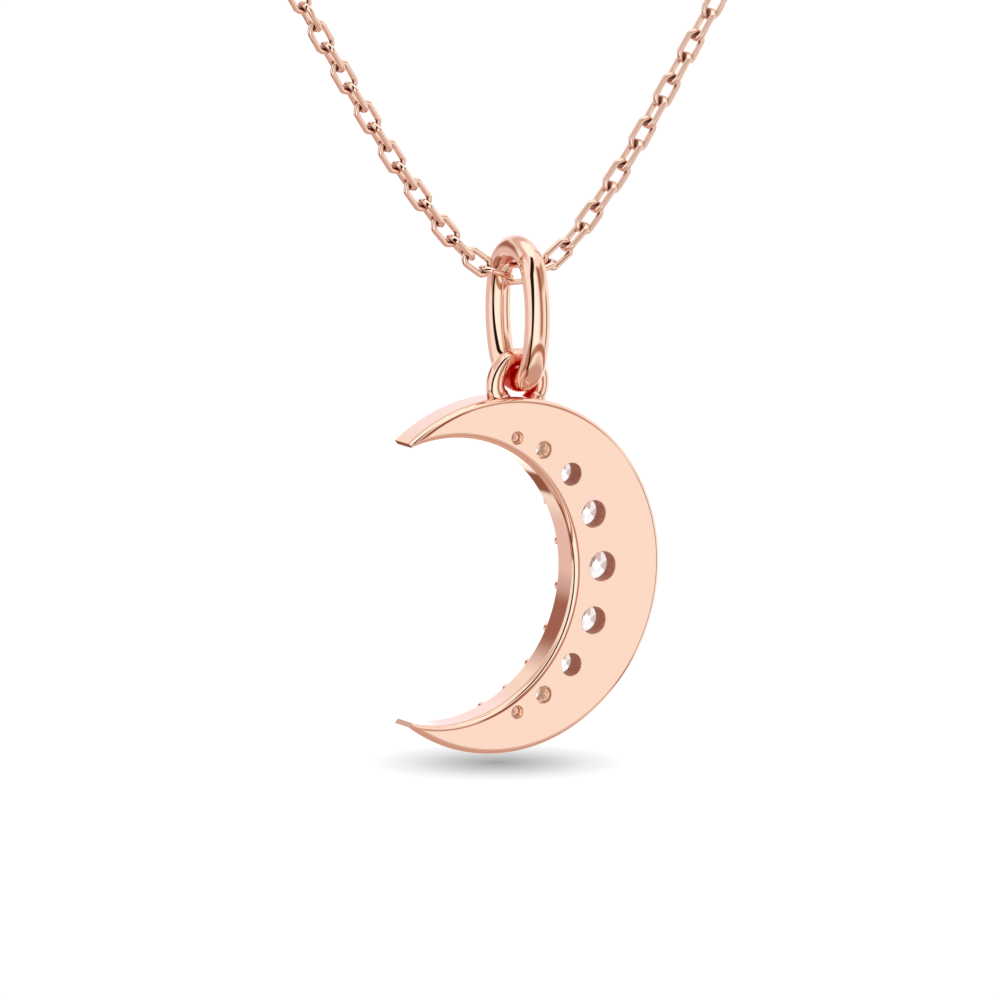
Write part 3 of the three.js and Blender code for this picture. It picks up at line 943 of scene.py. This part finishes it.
# The floor's painted soft contact shadow, a long round pool under the crescent: its middle from the
# moon's own middle, its half axes, and the floor's brightness at shares of the way out to its rim.
SHADOW_MIDDLE = (-0.62, -1.84)
SHADOW_TURN = math.radians(149.4)
SHADOW_HALF_AXES = (5.3, 4.1)
SHADOW_LEVELS = ((0, 0.37), (0.25, 0.51), (0.5, 0.67), (0.75, 0.85), (1, 0.97), (1.12, 1.03))
FLOOR_BELOW_MOON = 0.75
FLOOR_SIZE = 6  # metres


def build_floor():
    """White seamless floor just under the crescent, with a soft contact shadow painted on it."""
    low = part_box("crescent")[0]
    origin = moon_origin()
    x, y = origin.x + SHADOW_MIDDLE[0], origin.y + SHADOW_MIDDLE[1]
    bpy.ops.mesh.primitive_plane_add(
        size=FLOOR_SIZE, location=(x * MM, y * MM, low.z - FLOOR_BELOW_MOON * MM),
        rotation=(0, 0, SHADOW_TURN),
    )
    floor = bpy.context.object
    floor.name = "floor"
    material = bpy.data.materials.new("pale_floor")
    material.use_nodes = True
    nodes, links = material.node_tree.nodes, material.node_tree.links
    nodes.clear()
    place = nodes.new("ShaderNodeTexCoord")
    scaled = nodes.new("ShaderNodeVectorMath")
    scaled.operation = "DIVIDE"
    links.new(place.outputs["Object"], scaled.inputs[0])
    scaled.inputs[1].default_value = (SHADOW_HALF_AXES[0] * MM, SHADOW_HALF_AXES[1] * MM, 1)
    reach = nodes.new("ShaderNodeVectorMath")
    reach.operation = "LENGTH"
    links.new(scaled.outputs[0], reach.inputs[0])
    rim = SHADOW_LEVELS[-1][0]
    share = math_node(nodes, links, "DIVIDE", reach.outputs["Value"], rim)
    levels = nodes.new("ShaderNodeValToRGB")
    ramp = levels.color_ramp
    while len(ramp.elements) < len(SHADOW_LEVELS):
        ramp.elements.new(0.5)
    for element, (position, level) in zip(ramp.elements, SHADOW_LEVELS):
        element.position = position / rim
        element.color = (level, level, level, 1)
    links.new(share, levels.inputs["Fac"])
    # The floor glows at its own levels, so its shadow is painted, not cast.
    glow = nodes.new("ShaderNodeEmission")
    links.new(levels.outputs["Color"], glow.inputs["Color"])
    out = nodes.new("ShaderNodeOutputMaterial")
    links.new(glow.outputs[0], out.inputs["Surface"])
    floor.data.materials.append(material)
    floor.visible_glossy = False
    floor.visible_diffuse = False
    floor.visible_transmission = False


CAMERA_AZIMUTH = math.radians(149.41)
CAMERA_ELEVATION = math.radians(10.2)
CAMERA_DISTANCE = 700
CAMERA_AIM = (0.315, 0, 3.47)  # from the moon's middle
CAMERA_LENS = 570.5


def build_camera():
    """Behind the crescent, a little above it, on the side that it opens to."""
    aim = moon_origin() + Vector(CAMERA_AIM)
    back = Vector((
        math.sin(CAMERA_AZIMUTH) * math.cos(CAMERA_ELEVATION),
        -math.cos(CAMERA_AZIMUTH) * math.cos(CAMERA_ELEVATION),
        math.sin(CAMERA_ELEVATION),
    ))
    data = bpy.data.cameras.new("camera")
    data.sensor_width = 36
    data.lens = CAMERA_LENS
    data.clip_start = 0.01
    data.clip_end = 20
    camera = bpy.data.objects.new("camera", data)
    camera.location = (aim + back * CAMERA_DISTANCE) * MM
    camera.rotation_mode = "QUATERNION"
    camera.rotation_quaternion = (-back).to_track_quat("-Z", "Y")
    bpy.context.collection.objects.link(camera)
    bpy.context.scene.camera = camera


# ---------------------------------------------------------------- assembly
build_camera()
gold = rose_gold("polished_rose_gold", *POLISH)
# The loop, bail and links are painted deeper where pieces come close, as painted shade.
ring_gold = rose_gold("ring_rose_gold", *POLISH, painted_shade=RING_PAINTED_SHADE)
link_gold = rose_gold("link_rose_gold", *POLISH, painted_shade=LINK_PAINTED_SHADE, colour=LINK_GOLD_PAINTED_PALER)
# The wide holes' satin walls, painted darker as painted shade.
satin = rose_gold("satin_rose_gold", *SATIN, colour=SHADED_SATIN_GOLD, metallic=0.3)
stone = diamond()
casting = build_crescent()
casting.data.materials.append(gold)
casting.data.materials.append(satin)
for piece in [build_loop(), build_bail()]:
    set_material(piece, ring_gold)
for piece in [*build_near_links(), *build_far_links()]:
    set_material(piece, link_gold)
for piece in [*build_clasp_rings(), *build_clasp_parts()]:
    set_material(piece, gold)
for piece in build_diamonds():
    set_material(piece, stone)
for name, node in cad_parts.items():
    node.data.materials.clear()
    node.data.materials.append(stone if name.startswith("diamond") else gold)
build_world()
build_floor()
scene = bpy.context.scene
scene.view_settings.view_transform = "Standard"
